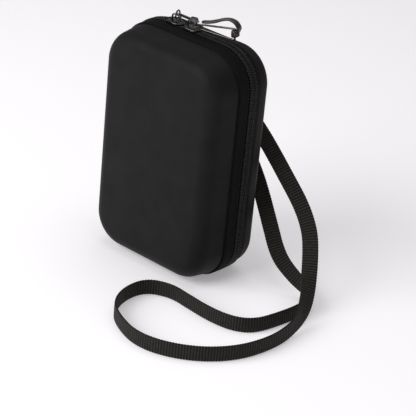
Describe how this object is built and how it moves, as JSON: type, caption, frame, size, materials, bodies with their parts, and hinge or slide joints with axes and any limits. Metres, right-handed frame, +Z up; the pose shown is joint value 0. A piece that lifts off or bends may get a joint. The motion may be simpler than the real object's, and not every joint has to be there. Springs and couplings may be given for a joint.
{
  "type": "hard zip case for a laser rangefinder",
  "caption": "Moulded hard-shell zip case for a pocket laser rangefinder, with a hinged lid, zip sliders with pulls, and a webbing wrist strap on a swivel clasp.",
  "frame": {"origin": "middle of the short bottom side that the closed case stands on, in the plane of the fabric hinge", "axes": "+Z up, +X towards the side that opens, -Y towards the lid's big face"},
  "size_m": [0.1721, 0.1453, 0.1652],
  "materials": {
    "shell_fabric": "smooth matte knitted laminate",
    "eva_foam": "dense moulded foam",
    "lining_knit": "short brushed knit",
    "zip_tape": "ribbed woven tape",
    "zip_coil": "satin nylon coil",
    "binding_tape": "bias binding",
    "gusset_fabric": "plain woven",
    "elastic": "ribbed elastic",
    "pocket_mesh": "open knitted mesh",
    "patch_leather": "fine grained",
    "thong_leather": "smooth, slightly glossy",
    "webbing": "ribbed nylon webbing",
    "gunmetal": "polished gunmetal plating",
    "black_metal": "black nickel plating"
  },
  "bodies": {
    "rear_case": {"rear_cover": "shell_fabric", "rear_core": "eva_foam", "rear_lining": "lining_knit", "rear_zip_tape": "zip_tape", "rear_zip_coil": "zip_coil", "rear_binding": "binding_tape", "rear_hinge_gusset": "gusset_fabric", "elastic_band": "elastic", "elastic_anchors": "elastic", "tab_patch": "patch_leather", "strap_tab": "webbing", "wrist_strap": "webbing"},
    "lid": {"front_cover": "shell_fabric", "front_core": "eva_foam", "front_lining": "lining_knit", "front_zip_tape": "zip_tape", "front_zip_coil": "zip_coil", "front_binding": "binding_tape", "front_hinge_gusset": "gusset_fabric", "mesh_pocket": "pocket_mesh", "pocket_binding": "binding_tape", "pocket_hem": "elastic"},
    "left_slider": {"left_slider_body": "gunmetal", "left_slider_crown": "gunmetal"},
    "left_pull": {"left_pull_link": "gunmetal", "left_pull_frame": "gunmetal"},
    "left_thong": {"left_pull_thong": "thong_leather"},
    "right_slider": {"right_slider_body": "gunmetal", "right_slider_crown": "gunmetal"},
    "right_pull": {"right_pull_link": "gunmetal", "right_pull_frame": "gunmetal"},
    "right_thong": {"right_pull_thong": "thong_leather"},
    "strap_ring": {"d_ring": "black_metal", "clasp_swivel": "black_metal", "strap_ferrule": "black_metal"},
    "clasp": {"clasp_hook": "black_metal", "gate_pin": "black_metal"},
    "gate": {"clasp_gate": "black_metal"}
  },
  "joints": [
    {"name": "lid_hinge", "type": "hinge", "parent": "rear_case", "child": "lid", "pos_m": [-0.049, 0, 0.075], "axis": [0, 0, -1], "range_deg": [0, 170], "deforming": ["wrist_strap"]},
    {"name": "left_slider_travel", "type": "slide", "parent": "rear_case", "child": "left_slider", "axis": [-1, 0, 0], "range_m": [0, 0.009]},
    {"name": "left_pull_swing", "type": "hinge", "parent": "left_slider", "child": "left_pull", "pos_m": [-0.0165, 0, 0.156], "axis": [0.9659, 0.2588, 0], "range_deg": [0, 120]},
    {"name": "left_thong_swing", "type": "hinge", "parent": "left_pull", "child": "left_thong", "pos_m": [-0.02285, 0.0237, 0.1451], "axis": [0.9659, 0.2588, 0], "range_deg": [0, 80]},
    {"name": "right_slider_travel", "type": "slide", "parent": "rear_case", "child": "right_slider", "axis": [1, 0, 0], "range_m": [0, 0.026]},
    {"name": "right_pull_swing", "type": "hinge", "parent": "right_slider", "child": "right_pull", "pos_m": [-0.0017, 0, 0.1544], "axis": [0, -1, 0], "range_deg": [0, 90]},
    {"name": "right_thong_swing", "type": "hinge", "parent": "right_pull", "child": "right_thong", "pos_m": [0.02633, 0.00507, 0.1558], "axis": [-0.0563, -0.012, 0.9983], "range_deg": [-60, 60]},
    {"name": "strap_ring_swing", "type": "hinge", "parent": "rear_case", "child": "strap_ring", "pos_m": [0, 0.0223, 0.126], "axis": [1, 0, 0], "range_deg": [-2, 35]},
    {"name": "clasp_swivel_turn", "type": "hinge", "parent": "strap_ring", "child": "clasp", "pos_m": [0, 0.02508, 0.11744], "axis": [-0.342, -0.2904, 0.8937], "range_deg": [-15, 15]},
    {"name": "clasp_gate_swing", "type": "hinge", "parent": "clasp", "child": "gate", "pos_m": [0.00215, 0.03053, 0.11298], "axis": [0.9397, -0.1057, 0.3253], "range_deg": [0, 14], "stiffness_Nm_per_rad": 0.0005}
  ]
}
